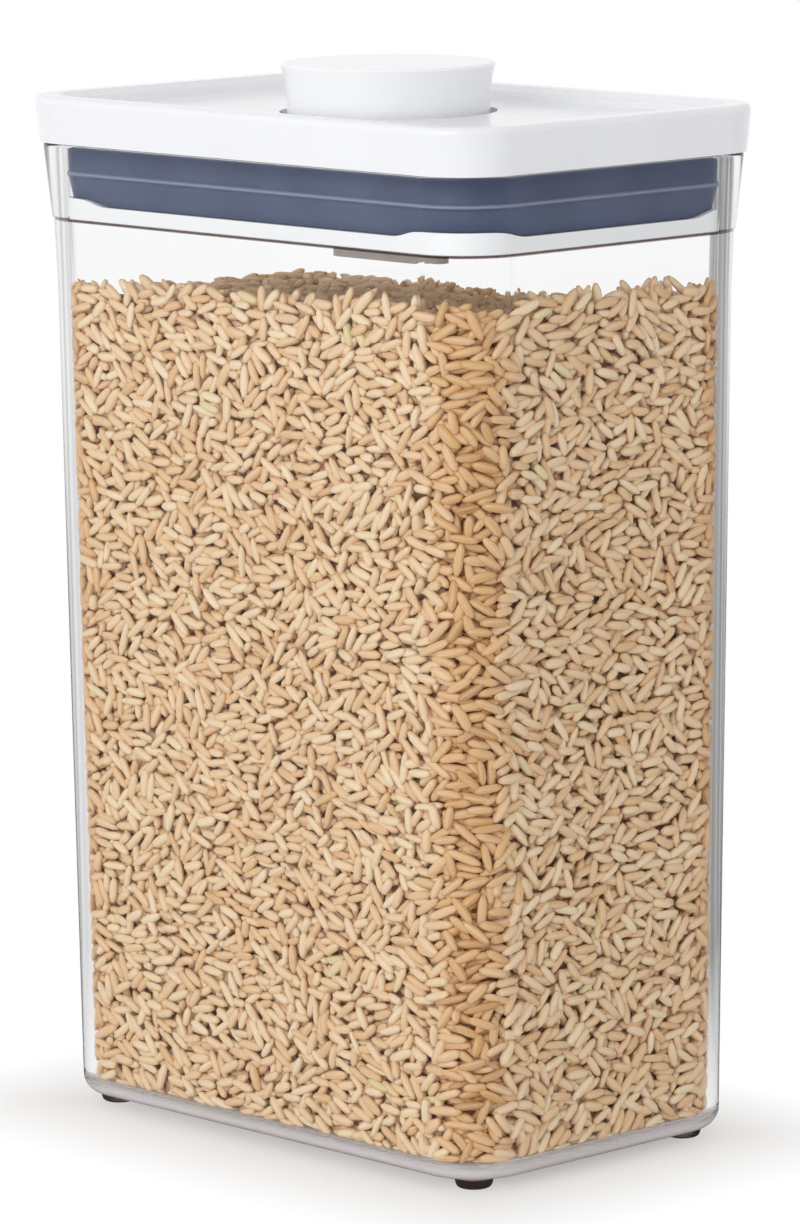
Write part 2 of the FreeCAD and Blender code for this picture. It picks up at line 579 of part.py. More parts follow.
def gasket():
    body = new_body("gasket_body")
    low, high = f"{PLATE_TOP} + gasket_gap", f"{LID_BOTTOM} - gasket_gap"
    fin = f"{LID_BOTTOM} - fin_drop"
    side, tip = GASKET_INSET, f"{MOUTH_INSET} + fin_gap"
    stations = [("low", low, f"{side} + gasket_taper"), ("fin_low", f"{fin} - fin_half", side),
                ("fin_tip", fin, tip), ("fin_high", f"{fin} + fin_half", side), ("high", high, side)]
    sections = [outline(body, f"gasket_{tag}", z, inset, "inner_corner") for tag, z, inset in stations]
    loft(body, "gasket_side", sections)
    hole = outline(body, "gasket_hole", high, f"{GASKET_INSET} + gasket_width", "inner_corner - gasket_width")
    pocket(body, "gasket_inside", hole, f"{high} - ({low})")
    blank = new_body("gasket_corner_body")
    corners = outline(blank, "gasket_corner_outline", f"{PLATE_TOP} - {PAST}", PLATE_INSET, "inner_corner")
    pad(blank, "gasket_corner_full", corners, f"{PAST} + corner_rise + gasket_gap")
    corner_cuts(blank, "gasket_corner", low, f"{CORNER_TOP} + gasket_gap")
    return named(cut("gasket_cut", body, [blank]), "gasket")


nodes = [canister(), lid_cover(), inner_frame(), frame_screws(), latch_housing(), latch_pin(), button_cap(),
         plunger(), return_spring(), gasket(), seal_plate()]
for side, end in ((-1, "left"), (1, "right")):
    nodes.append(lever_axle(side, f"lever_axle_{end}"))
    for row, place_name in ((-1, "front"), (1, "back")):
        nodes.append(lever(side, row, f"lever_{end}_{place_name}"))
doc.recompute()

for thing in doc.Objects:
    if "Invalid" in thing.State or "Error" in thing.State:
        raise RuntimeError(f"{thing.Name} failed: {thing.State}")
for node in nodes:
    if node.Shape.isNull() or not node.Shape.isValid() or not node.Shape.Solids:
        raise RuntimeError(f"{node.Label} has no valid solid")

os.makedirs("parts", exist_ok=True)
for node in nodes:
    node.Shape.exportStep(f"parts/{node.Label}.step")
    bounds = node.Shape.BoundBox
    print("%-18s solids %d volume %.0f z %.2f to %.2f" % (
        node.Label, len(node.Shape.Solids), node.Shape.Volume, bounds.ZMin, bounds.ZMax))
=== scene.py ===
import math

import bpy
import numpy as np
from mathutils import Matrix, Vector


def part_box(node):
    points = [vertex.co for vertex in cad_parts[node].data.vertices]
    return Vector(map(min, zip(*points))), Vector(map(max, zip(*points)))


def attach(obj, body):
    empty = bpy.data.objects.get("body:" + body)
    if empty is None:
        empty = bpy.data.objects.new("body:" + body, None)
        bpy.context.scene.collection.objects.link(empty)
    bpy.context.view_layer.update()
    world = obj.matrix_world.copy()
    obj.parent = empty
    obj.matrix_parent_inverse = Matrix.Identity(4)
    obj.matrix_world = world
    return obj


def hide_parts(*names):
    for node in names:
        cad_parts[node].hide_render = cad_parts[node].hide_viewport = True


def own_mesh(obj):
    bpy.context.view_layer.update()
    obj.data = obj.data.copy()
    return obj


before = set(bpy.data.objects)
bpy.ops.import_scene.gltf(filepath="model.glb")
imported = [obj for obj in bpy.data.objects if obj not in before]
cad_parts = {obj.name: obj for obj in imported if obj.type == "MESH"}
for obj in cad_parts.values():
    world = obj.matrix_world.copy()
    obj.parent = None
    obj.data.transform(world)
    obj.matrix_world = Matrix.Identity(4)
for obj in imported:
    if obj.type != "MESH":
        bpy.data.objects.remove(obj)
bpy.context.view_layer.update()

# Airtight canister full of brown rice: looks for the CAD pieces, and the rice as grains. Metres.

MM = 0.001

# Inside of the canister: half sizes at the floor and at the mouth, from the CAD sizes
FLOOR_Z, MOUTH_Z = 5.4 * MM, 237.0 * MM
FLOOR_HALF = np.array([70.35, 42.85]) * MM
MOUTH_HALF = np.array([72.8, 45.3]) * MM
INNER_CORNER, FLOOR_ROUND = 12.5 * MM, 3.0 * MM
LEDGE_Z = 219.1 * MM

# Rice: a grain's size, how sizes, turns and leans vary, and how blunt its tips are
GRAIN_LENGTH, GRAIN_WIDTH, GRAIN_DEPTH = 7.0 * MM, 2.4 * MM, 1.9 * MM
GRAIN_RINGS, GRAIN_SIDES, GRAIN_BLUNT = 5, 6, 2.7
LENGTH_SPREAD, GIRTH_SPREAD = 0.13, 0.07
TURN_SPREAD, LEAN_SPREAD, LEAN_MOST = 0.72, 0.12, 0.55
ROLL_SPREAD, BOW_SPREAD = 0.35, 0.10
SEED = 7

# Laying: the grid's cell, how close grains pack, how many layers, and the places tried for each grain
CELL, PACKING, WALL_GAP = 0.4 * MM, 0.62, 0.15 * MM
WALL_LAYERS, TOP_LAYERS = 3.5, 3.0
LOOKS, SPOTS, TURNS = 60, 6, 7
END_ZONE, END_MIDDLE = 0.3, 0.6

# Heap: how high it is filled, how it falls inwards and to the left, and where its layers begin
FILL_Z = 206.9 * MM
HEAP_FALL, LEFT_FALL = 0.207, 3.2 * MM
RIM_DROP, RIM_SPARE, FLOOR_LIFT, ROUND_SHARE = 0.8 * MM, 3 * MM, 0.2 * MM, 0.7
TOP_DEPTH, TOP_INSET, TOP_EDGE = 2.7 * MM, 1.0 * MM, 1.4 * MM
CORE_DEPTH, CORE_INSET, CORE_AROUND = 2.9 * MM, 3.4 * MM, 120

# Grains as pieces: how many in one, squares of the texture map each way, and tones by place, darker in
# the upright corners as painted shade
PIECE_GRAINS, ATLAS, MAP_MARGIN = 3200, 58, 0.03
CORNER_SHADE_TONE, FLAT_TONE, CORNER_FADE = 0.32, 0.24, 6.0 * MM

# Gasket and return spring, from the CAD sizes: insets are from the lid's outline
LID_HALF = np.array([79.0, 51.5]) * MM
GASKET_LOW, GASKET_HIGH = 222.7 * MM, 237.1 * MM
GASKET_INSET, GASKET_WIDTH = 7.25 * MM, 4.2 * MM
FIN_Z, FIN_REACH = 230.0 * MM, 0.8 * MM
CORNER_RISE, CORNER_SLOPE = 1.55 * MM, 10.0 * MM
CORNER_FLAT = np.array([20.0, 15.0]) * MM
ARC_POINTS, SIDE_POINTS = 9, 28
SPRING_RADIUS, SPRING_WIRE, SPRING_TURNS = 19.625 * MM, 1.2 * MM, 5

# Camera at the photograph's angle, fitted to the edges of the lid and base
AZIMUTH, ELEVATION, ROLL = math.radians(46.3445), math.radians(9.1321), math.radians(-0.4903)
DISTANCE = 1573.594 * MM
AIM_RIGHT, AIM_UP = 1.6937 * MM, 124.6715 * MM
FOCAL_PX, FRAME_HIGH = 6539.22, 1224
SENSOR = 36.0
TOWARD = (math.sin(AZIMUTH), -math.cos(AZIMUTH), 0.0)
RIGHTWARD = (math.cos(AZIMUTH), math.sin(AZIMUTH), 0.0)

# Studio: ambient level, the painted shade on the floor under the canister, lamps in metres and watts, and
# the stripes that show at the clear edges
HORIZON, ZENITH = 0.885, 0.58
BEHIND, FLOOR_WHITE, UNDER_PAINTED_SHADE = 1.0, 0.93, 0.35
KEY_PLACE, KEY_AIM, KEY_SIZE, KEY_POWER = (0.32, -1.68, 0.85), (0, 0, 0.12), (1.4, 1.4), 10.8
TOP_PLACE, TOP_AIM, TOP_SIZE, TOP_POWER = (0.0, 0.1, 1.6), (0, 0, 0.1), (1.4, 1.4), 0.6
MIRROR_SIDE, MIRROR_DARK = 0.7, 0.08
MIRROR_BACK, MIRROR_FRONT = (-0.7, -0.3), (0.1, 0.45)
SIDE_STRIPES = ((0.0, 0.9), (0.1, 0.7), (0.175, 0.92), (0.25, 0.5), (0.325, 0.85), (0.4, BEHIND),
                (0.56, BEHIND), (0.625, 0.5), (0.7, 0.22), (0.75, 0.55), (0.8, 0.2), (0.875, 0.42),
                (0.95, 0.22), (1.0, 0.5))

# Floor: its reach, the shadow's reach and glow, how far the painted shade under the canister reaches, and
# where mirrors and clear walls show the studio
FLOOR_REACH, SHADOW_REACH, UNDER_SHADE_REACH = 6.0, 0.04, 0.012
SHADOW_GLOW, THROUGH_GLOW = 0.35, 0.9
MIRROR_FADE, THROUGH_FADE = (0.8, 1.5), (0.07, 0.25)


def link(name, data):
    """A new object in the scene that shows the data."""
    thing = bpy.data.objects.new(name, data)
    bpy.context.scene.collection.objects.link(thing)
    return thing


def add_camera():
    """The camera looks at the canister's middle with the photograph's perspective and slight roll."""
    back = Vector(TOWARD) * math.cos(ELEVATION) + Vector((0, 0, math.sin(ELEVATION)))
    level = Vector(RIGHTWARD)
    upright = back.cross(level)
    right = level * math.cos(ROLL) + upright * math.sin(ROLL)
    up = upright * math.cos(ROLL) - level * math.sin(ROLL)
    data = bpy.data.cameras.new("camera")
    data.sensor_width = SENSOR
    data.lens = FOCAL_PX * SENSOR / FRAME_HIGH
    data.clip_end = 100
    camera = link("camera", data)
    place = right * AIM_RIGHT + Vector((0, 0, AIM_UP)) + back * DISTANCE
    turn = Matrix((right, up, back)).transposed()
    camera.matrix_world = Matrix.Translation(place) @ turn.to_4x4()
    bpy.context.scene.camera = camera


class Nodes:
    """Shorthand for building a node tree."""

    def __init__(self, tree):
        self.tree = tree
        tree.nodes.clear()

    def add(self, kind, **inputs):
        node = self.tree.nodes.new(kind)
        for name, given in inputs.items():
            self.put(node.inputs[name.replace("_", " ")], given)
        return node

    def put(self, socket, given):
        if isinstance(given, bpy.types.NodeSocket):
            self.tree.links.new(given, socket)
        else:
            socket.default_value = given

    def math(self, operation, *values):
        node = self.tree.nodes.new("ShaderNodeMath")
        node.operation = operation
        for socket, given in zip(node.inputs, values):
            self.put(socket, given)
        return node.outputs[0]

    def mix(self, factor, first, second):
        node = self.tree.nodes.new("ShaderNodeMix")
        node.data_type = "RGBA"
        self.put(node.inputs["Factor"], factor)
        self.put(node.inputs[6], first)
        self.put(node.inputs[7], second)
        return node.outputs[2]

    def ramp(self, factor, low, high):
        node = self.tree.nodes.new("ShaderNodeMapRange")
        self.put(node.inputs["Value"], factor)
        node.inputs["From Min"].default_value, node.inputs["From Max"].default_value = low
        node.inputs["To Min"].default_value, node.inputs["To Max"].default_value = high
        return node.outputs["Result"]

    def stops(self, factor, stops):
        """A colour ramp through (position, colour) stops."""
        node = self.add("ShaderNodeValToRGB", Fac=factor)
        elements = node.color_ramp.elements
        for _ in stops[2:]:
            elements.new(1.0)
        for element, (position, colour) in zip(elements, stops):
            element.position, element.color = position, colour
        return node.outputs["Color"]

    def noise(self, vector, scale, detail, roughness):
        node = self.add(
            "ShaderNodeTexNoise", Vector=vector, Scale=scale, Detail=detail, Roughness=roughness)
        return node.outputs["Fac"]

    def vector(self, operation, *values):
        node = self.tree.nodes.new("ShaderNodeVectorMath")
        node.operation = operation
        for socket, given in zip(node.inputs, values):
            self.put(socket, given)
        return node.outputs["Value" if operation in ("LENGTH", "DOT_PRODUCT") else "Vector"]

    def place(self):
        return self.add("ShaderNodeTexCoord").outputs["Object"]

    def bump(self, height, distance):
        return self.add("ShaderNodeBump", Height=height, Distance=distance).outputs["Normal"]


def srgb(red, green, blue):
    """A colour given as 0 to 255 screen values, as linear RGBA."""
    def linear(level):
        share = level / 255
        return share / 12.92 if share <= 0.04045 else ((share + 0.055) / 1.055) ** 2.4
    return (linear(red), linear(green), linear(blue), 1.0)


def grey(level):
    return (level, level, level, 1.0)


def new_material(name):
    material = bpy.data.materials.new(name)
    material.use_nodes = True
    kit = Nodes(material.node_tree)
    shader = kit.add("ShaderNodeBsdfPrincipled")
    output = kit.add("ShaderNodeOutputMaterial")
    material.node_tree.links.new(shader.outputs["BSDF"], output.inputs["Surface"])
    return material, kit, shader, output


def moulded_plastic(name, light, shade, roughness, orange_peel):
    """Injection-moulded plastic: faint flow mottling, a soft orange peel and slightly uneven gloss."""
    material, kit, shader, _ = new_material(name)
    where = kit.place()
    flow = kit.noise(where, scale=28, detail=3, roughness=0.55)
    kit.put(shader.inputs["Base Color"], kit.mix(kit.ramp(flow, (0.35, 0.65), (0, 1)), shade, light))
    haze = kit.noise(where, scale=160, detail=2, roughness=0.5)
    kit.put(shader.inputs["Roughness"], kit.ramp(haze, (0.3, 0.7), roughness))
    peel = kit.noise(where, scale=420, detail=2, roughness=0.5)
    kit.put(shader.inputs["Normal"], kit.bump(peel, orange_peel))
    shader.inputs["IOR"].default_value = 1.5
    return material


def drawn_steel(name, light, dark, stretch):
    """Steel wire and turned pieces: fine drawing lines along one axis and small stains."""
    material, kit, shader, _ = new_material(name)
    where = kit.place()
    mapping = kit.add("ShaderNodeMapping", Vector=where, Scale=stretch)
    lines = kit.noise(mapping.outputs["Vector"], scale=900, detail=2, roughness=0.6)
    kit.put(shader.inputs["Base Color"], kit.mix(kit.ramp(lines, (0.3, 0.7), (0, 1)), dark, light))
    kit.put(shader.inputs["Roughness"], kit.ramp(lines, (0.3, 0.7), (0.22, 0.38)))
    kit.put(shader.inputs["Normal"], kit.bump(lines, 0.02 * MM))
    shader.inputs["Metallic"].default_value = 1.0
    return material


def silicone():
    """Slate-blue silicone: satin, slightly cloudy, with a fine moulded grain, and a paler line along the
    fin's edge that is partly painted highlight.
    """
    material, kit, shader, _ = new_material("silicone")
    where = kit.place()
    cloud = kit.noise(where, scale=60, detail=3, roughness=0.5)
    body = kit.mix(kit.ramp(cloud, (0.35, 0.65), (0, 1)), srgb(80, 90, 118), srgb(88, 98, 127))
    height = kit.add("ShaderNodeSeparateXYZ", Vector=where).outputs["Z"]
    # A paler line along the fin's edge: painted highlight where the fin catches the light, and partly the
    # thin fin's own paler look
    fin_edge, highlight_share = FIN_Z + 0.15 * MM, 0.75
    off_fin = kit.math("ABSOLUTE", kit.math("SUBTRACT", height, fin_edge))
    fin_highlight = kit.ramp(off_fin, (0.1 * MM, 0.6 * MM), (highlight_share, 0))
    kit.put(shader.inputs["Base Color"], kit.mix(fin_highlight, body, srgb(158, 165, 184)))
    haze = kit.noise(where, scale=300, detail=2, roughness=0.5)
    kit.put(shader.inputs["Roughness"], kit.ramp(haze, (0.3, 0.7), (0.34, 0.46)))
    grain = kit.noise(where, scale=1500, detail=2, roughness=0.5)
    kit.put(shader.inputs["Normal"], kit.bump(grain, 0.03 * MM))
    shader.inputs["IOR"].default_value = 1.41
    return material


# Canister: how weakly its walls mirror, and the lower and upper edge of the painted shade line under its
# ledge
CLEAR_SHEEN = 0.15
SHADE_LINE_LOW, SHADE_LINE_HIGH = (LEDGE_Z - 0.75 * MM, LEDGE_Z - 0.6 * MM), (LEDGE_Z - 0.05 * MM, LEDGE_Z + 0.1 * MM)

# Its base, by share of the base's height: painted shade on the feet and a painted silvery shine above
# them, and how much of that covers the clear look
BASE_HIGH = 8 * MM
BASE_PAINTED_SHADE_AND_SHINE = ((0.0, srgb(46, 34, 30)), (0.3, srgb(60, 46, 42)), (0.36, srgb(206, 196, 199)),
              (0.5, srgb(246, 241, 244)), (0.7, srgb(254, 252, 254)))
BASE_PAINT_SHARES = ((0.0, grey(0.75)), (0.3, grey(0.75)), (0.62, grey(0.7)), (0.9, grey(0.0)))


def clear_plastic():
    """Clear polished plastic that lets the lamps through to what it holds.

    Its fine dark line under the ledge is painted shade; the feet are painted dark with the shade under
    the base, and the thick base above them has a painted silvery shine.
    """
    material, kit, shader, output = new_material("clear_plastic")
    where = kit.place()
    height = kit.add("ShaderNodeSeparateXYZ", Vector=where).outputs["Z"]
    # Painted shade: a thin dark line under the ledge, standing in for the ledge step's own dark line
    line = kit.math("MINIMUM", kit.ramp(height, SHADE_LINE_LOW, (0, 1)), kit.ramp(height, SHADE_LINE_HIGH, (1, 0)))
    kit.put(shader.inputs["Base Color"], kit.mix(line, (1, 1, 1, 1), srgb(100, 84, 80)))
    shader.inputs["Transmission Weight"].default_value = 1.0
    shader.inputs["IOR"].default_value = 1.5
    shader.inputs["Specular Tint"].default_value = grey(CLEAR_SHEEN)
    shader.inputs["Roughness"].default_value = 0.0
    wave = kit.noise(where, scale=9, detail=1, roughness=0.4)
    kit.put(shader.inputs["Normal"], kit.bump(wave, 0.15 * MM))
    # By height: painted shade on the feet, and a painted silvery shine on the thick base above them
    low = kit.ramp(height, (0, BASE_HIGH), (0, 1))
    base = kit.add("ShaderNodeBsdfPrincipled", Roughness=0.22)
    kit.put(base.inputs["Base Color"], kit.stops(low, BASE_PAINTED_SHADE_AND_SHINE))
    body = kit.add("ShaderNodeMixShader", Fac=kit.stops(low, BASE_PAINT_SHARES))
    kit.put(body.inputs[1], shader.outputs["BSDF"])
    kit.put(body.inputs[2], base.outputs["BSDF"])
    path = kit.add("ShaderNodeLightPath")
    through = kit.math("MAXIMUM", path.outputs["Is Shadow Ray"], path.outputs["Is Diffuse Ray"])
    window = kit.add("ShaderNodeBsdfTransparent", Color=(0.96, 0.97, 0.97, 1))
    mixed = kit.add("ShaderNodeMixShader", Fac=through)
    kit.put(mixed.inputs[1], body.outputs["Shader"])
    kit.put(mixed.inputs[2], window.outputs["BSDF"])
    kit.put(output.inputs["Surface"], mixed.outputs["Shader"])
    return material


# Bran, from the darkest grains to the palest, and a few greenish ones
BRAN_TONES = ((0.0, srgb(190, 130, 70)), (0.14, srgb(222, 170, 106)), (0.3, srgb(230, 183, 130)),
              (0.55, srgb(240, 201, 155)), (0.93, srgb(249, 223, 186)), (0.98, srgb(228, 208, 150)))


def grain_material():
    """Brown rice: bran from straw to tan, grain by grain, with pale streaks along it and darker tips."""
    material, kit, shader, _ = new_material("rice_bran")
    # The tone attribute carries each grain's own tone and, for grains in the corners, painted shade
    tone = kit.add("ShaderNodeAttribute")
    tone.attribute_name = "grain_tone_and_shade"
    kind = tone.outputs["Fac"]
    local = kit.add("ShaderNodeUVMap")
    local.uv_map = "OFBake"
    scaled = kit.add("ShaderNodeVectorMath")
    scaled.operation = "SCALE"
    kit.put(scaled.inputs[0], local.outputs["UV"])
    scaled.inputs["Scale"].default_value = ATLAS
    split = kit.add("ShaderNodeSeparateXYZ", Vector=scaled.outputs[0])
    along = kit.math("FRACT", split.outputs["X"])
    round_it = kit.math("FRACT", split.outputs["Y"])
    base = kit.stops(kind, BRAN_TONES)
    stretch, fineness, shift = 0.35, 7.0, 40.0
    lines = kit.add("ShaderNodeCombineXYZ", X=kit.math("MULTIPLY", along, stretch),
                    Y=kit.math("MULTIPLY", round_it, fineness), Z=kit.math("MULTIPLY", kind, shift))
    fibre = kit.noise(lines.outputs["Vector"], scale=2, detail=2, roughness=0.6)
    streak = kit.ramp(fibre, (0.35, 0.7), (0, 1))
    streak_share = kit.math("MULTIPLY", streak, 0.35)
    streaked = kit.mix(streak_share, base, srgb(253, 238, 214))
    tip = kit.math("ABSOLUTE", kit.math("SUBTRACT", along, 0.5))
    tip_share = kit.ramp(tip, (0.36, 0.5), (0, 0.75))
    kit.put(shader.inputs["Base Color"], kit.mix(tip_share, streaked, srgb(190, 136, 84)))
    kit.put(shader.inputs["Roughness"], kit.ramp(streak, (0, 1), (0.38, 0.52)))
    shader.inputs["IOR"].default_value = 1.45
    return material


def core_material():
    """The mass of rice behind the outer grains, in painted shade: long blotches with darker gaps between
    them.
    """
    material, kit, shader, _ = new_material("rice_mass")
    stretched = kit.add("ShaderNodeMapping", Vector=kit.place(), Scale=(1, 1, 2.2))
    cells = kit.add("ShaderNodeTexVoronoi", Vector=stretched.outputs["Vector"], Scale=260)
    # Painted shade: the gaps between the blotches darken towards the dark colour
    shade = kit.ramp(cells.outputs["Distance"], (0.1, 0.6), (1, 0))
    kit.put(shader.inputs["Base Color"], kit.mix(shade, srgb(140, 88, 46), srgb(214, 160, 100)))
    kit.put(shader.inputs["Normal"], kit.bump(cells.outputs["Distance"], 1.0 * MM))
    shader.inputs["Roughness"].default_value = 0.7
    return material


def inside_half(z):
    """Half sizes of the inside at a height."""
    share = np.clip((np.asarray(z) - FLOOR_Z) / (MOUTH_Z - FLOOR_Z), 0, 1)[..., None]
    return FLOOR_HALF + (MOUTH_HALF - FLOOR_HALF) * share


def perimeter(half, corner):
    """Lengths of the stretches of a rounded rectangle: flat, corner, flat, corner and so on."""
    flat_x, flat_y = 2 * (half[..., 0] - corner), 2 * (half[..., 1] - corner)
    bend = np.full_like(flat_x, math.pi / 2 * corner)
    return np.stack([flat_x, bend, flat_y, bend, flat_x, bend, flat_y, bend], axis=-1)


def on_wall(share, z):
    """Points, inward normals and tangents of the inside wall, by share of the way round and height."""
    half = inside_half(z)
    stretches = perimeter(half, INNER_CORNER)
    ends = np.cumsum(stretches, axis=-1)
    travel = share * ends[..., -1]
    part = (travel[..., None] >= ends).sum(-1).clip(0, 7)
    begin = np.take_along_axis(ends - stretches, part[..., None], -1)[..., 0]
    along = travel - begin
    centre = half - INNER_CORNER
    turn = part // 2
    way = turn * math.pi / 2
    bent = part % 2 == 1
    corner_x = np.array([1, 1, -1, -1])[turn] * centre[..., 0]
    corner_y = np.array([-1, 1, 1, -1])[turn] * centre[..., 1]
    angle = np.where(bent, way + along / INNER_CORNER, way)
    tangent = np.stack([np.cos(angle), np.sin(angle), np.zeros_like(angle)], -1)
    normal = np.stack([-np.sin(angle), np.cos(angle), np.zeros_like(angle)], -1)
    length = np.take_along_axis(stretches, part[..., None], -1)[..., 0]
    back = np.where(bent, 0, length - along)
    point = np.stack([corner_x, corner_y, z], -1) - normal * INNER_CORNER - tangent * back[..., None]
    return point, normal, tangent


def heap_top(x, y):
    """Height of the rice: level along the two near walls, lower at the left, falling behind them."""
    half = inside_half(np.array(FILL_Z))
    from_front, from_right = y + half[1], half[0] - x
    inward = np.maximum(np.minimum(from_front, from_right), 0)
    leftward = (half[0] - x) / (2 * half[0])
    broad_ripple = 0.7 * np.sin(95 * x + 0.6) * np.cos(70 * y)
    fine_ripple = 0.5 * np.sin(230 * x + 150 * y)
    return FILL_Z - HEAP_FALL * inward - LEFT_FALL * leftward ** 2 + (broad_ripple + fine_ripple) * MM


def footprint():
    """Points in a grain's outline, as shares of its half length and half width, and its bulge there."""
    lengthways = np.linspace(-0.92, 0.92, 13)
    crossways = np.linspace(-0.8, 0.8, 4)
    t, w = (grid.ravel() for grid in np.meshgrid(lengthways, crossways))
    inside = np.abs(t) ** GRAIN_BLUNT + w ** 2 < 1
    t, w = t[inside], w[inside]
    return t, w, np.sqrt(1 - np.abs(t) ** GRAIN_BLUNT - w ** 2)


def settle(rng, size, layers, ground, wrap):
    """Lays grains one by one into the lowest spots, as they lie against a wall or in a heap.

    size is the patch in metres; returns place, turn, lean, depth and half sizes of each grain.
    """
    shape = tuple(int(math.ceil(side / CELL)) for side in size)
    taken = ground(shape)
    count = int(layers * size[0] * size[1] / (GRAIN_LENGTH * GRAIN_WIDTH))
    t, w, bulge = footprint()
    low, middle, high = t < -END_ZONE, np.abs(t) <= END_ZONE, t > END_ZONE
    laid = []
    for _ in range(count):
        columns, lines = rng.integers(0, shape[0], LOOKS), rng.integers(0, shape[1], LOOKS)
        lowest = np.argsort(taken[columns, lines], kind="stable")[:SPOTS]
        u = np.repeat((columns[lowest] + 0.5) * CELL, TURNS)
        v = np.repeat((lines[lowest] + 0.5) * CELL, TURNS)
        turn = rng.normal(0, TURN_SPREAD, len(u))
        half_long = 0.5 * GRAIN_LENGTH * rng.normal(1, LENGTH_SPREAD)
        half_wide = 0.5 * GRAIN_WIDTH * rng.normal(1, GIRTH_SPREAD)
        half_deep = 0.5 * GRAIN_DEPTH * rng.normal(1, GIRTH_SPREAD)
        cos, sin = np.cos(turn)[:, None], np.sin(turn)[:, None]
        reach_u = (np.abs(cos) * half_long + np.abs(sin) * half_wide)[:, 0]
        reach_v = (np.abs(sin) * half_long + np.abs(cos) * half_wide)[:, 0]
        v = v.clip(reach_v, size[1] - reach_v)
        u = u if wrap else u.clip(reach_u, size[0] - reach_u)
        column = ((u[:, None] + cos * t * half_long - sin * w * half_wide) / CELL).astype(int)
        line = ((v[:, None] + sin * t * half_long + cos * w * half_wide) / CELL).astype(int)
        column = column % shape[0] if wrap else column.clip(0, shape[0] - 1)
        line = line.clip(0, shape[1] - 1)
        needed = taken[column, line] + bulge * half_deep * PACKING
        before, amid, after = needed[:, low].max(1), needed[:, middle].max(1), needed[:, high].max(1)
        lean = (after - before) / (2 * END_MIDDLE * half_long) + rng.normal(0, LEAN_SPREAD, len(u))
        lean = lean.clip(-LEAN_MOST, LEAN_MOST)
        lift = END_MIDDLE * half_long * lean
        depth = np.maximum.reduce([before + lift, amid, after - lift])
        best = int(np.argmin(depth))
        top = depth[best] + lean[best] * t * half_long + bulge * half_deep * PACKING
        np.maximum.at(taken, (column[best], line[best]), top)
        laid.append((u[best], v[best], turn[best], lean[best], depth[best],
                     half_long, half_wide, half_deep))
    return np.array(laid)


def floor_rounding(height):
    """How far the rounding between floor and wall reaches inwards at a height above the floor."""
    under = np.clip(FLOOR_ROUND - height, 0, FLOOR_ROUND)
    return FLOOR_ROUND - np.sqrt(FLOOR_ROUND ** 2 - under ** 2)


def wall_grains(rng):
    """Centres, axes, normals and half sizes of the grains that lie against the wall all round."""
    length = perimeter(inside_half(np.array((FLOOR_Z + FILL_Z) / 2)), INNER_CORNER).sum()
    height = FILL_Z + RIM_SPARE - FLOOR_Z
    laid = settle(rng, (length, height), WALL_LAYERS, np.zeros, True)
    z = FLOOR_Z + FLOOR_LIFT + laid[:, 1]
    point, normal, tangent = on_wall(laid[:, 0] / length, z)
    keep = z < heap_top(point[:, 0], point[:, 1]) - RIM_DROP
    laid, point, normal, tangent = laid[keep], point[keep], normal[keep], tangent[keep]
    _, above, turn, lean, depth, half_long, _, _ = laid.T
    up = np.array([0.0, 0.0, 1.0])
    along = tangent * np.cos(turn)[:, None] + up * np.sin(turn)[:, None] + normal * lean[:, None]
    along /= np.linalg.norm(along, axis=1)[:, None]
    rounding = floor_rounding(above - np.abs(np.sin(turn)) * half_long)
    bend = in_corner(point) * (np.cos(turn) * half_long) ** 2 / (2 * INNER_CORNER)
    tip = np.maximum(np.abs(lean) * half_long - depth, 0)
    centre = point + normal * (depth + WALL_GAP + ROUND_SHARE * rounding + bend + tip)[:, None]
    return centre, along, normal, laid[:, 5:8]


def top_grains(rng):
    """Centres, axes, normals and half sizes of the grains that lie on top."""
    half = inside_half(np.array(FILL_Z)) - TOP_INSET

    def ground(shape):
        x = np.linspace(-half[0], half[0], shape[0])[:, None]
        y = np.linspace(-half[1], half[1], shape[1])[None, :]
        return heap_top(x, y) - TOP_DEPTH

    laid = settle(rng, tuple(2 * half), TOP_LAYERS, ground, False)
    x, y = laid[:, 0] - half[0], laid[:, 1] - half[1]
    past = np.maximum(np.abs(np.stack([x, y], 1)) - (half - INNER_CORNER), 0)
    keep = np.linalg.norm(past, axis=1) < INNER_CORNER - TOP_EDGE
    laid, x, y = laid[keep], x[keep], y[keep]
    _, _, turn, lean, height, _, _, _ = laid.T
    centre = np.stack([x, y, height], 1)
    along = np.stack([np.cos(turn), np.sin(turn), lean], 1)
    along /= np.linalg.norm(along, axis=1)[:, None]
    up = np.tile(np.array([0.0, 0.0, 1.0]), (len(x), 1))
    return centre, along, up, laid[:, 5:8]


def grain_shape():
    """One grain along X with half sizes of 1: rings from tip to tip, slightly blunt, and its faces."""
    first = 0.62
    places = [(-1.0, 0.0, 0.0)]
    for ring in range(GRAIN_RINGS):
        t = -math.cos(math.pi * (ring + first) / (GRAIN_RINGS - 1 + 2 * first))
        radius = math.sqrt(1 - abs(t) ** GRAIN_BLUNT)
        for side in range(GRAIN_SIDES):
            angle = 2 * math.pi * side / GRAIN_SIDES
            places.append((t, radius * math.cos(angle), radius * math.sin(angle)))
    places.append((1.0, 0.0, 0.0))
    last = len(places) - 1
    faces = []
    for side in range(GRAIN_SIDES):
        following = (side + 1) % GRAIN_SIDES
        faces.append((0, 1 + following, 1 + side))
        for ring in range(GRAIN_RINGS - 1):
            low, high = 1 + ring * GRAIN_SIDES, 1 + (ring + 1) * GRAIN_SIDES
            faces.append((low + side, low + following, high + following, high + side))
        low = 1 + (GRAIN_RINGS - 1) * GRAIN_SIDES
        faces.append((low + side, low + following, last))
    return np.array(places), faces


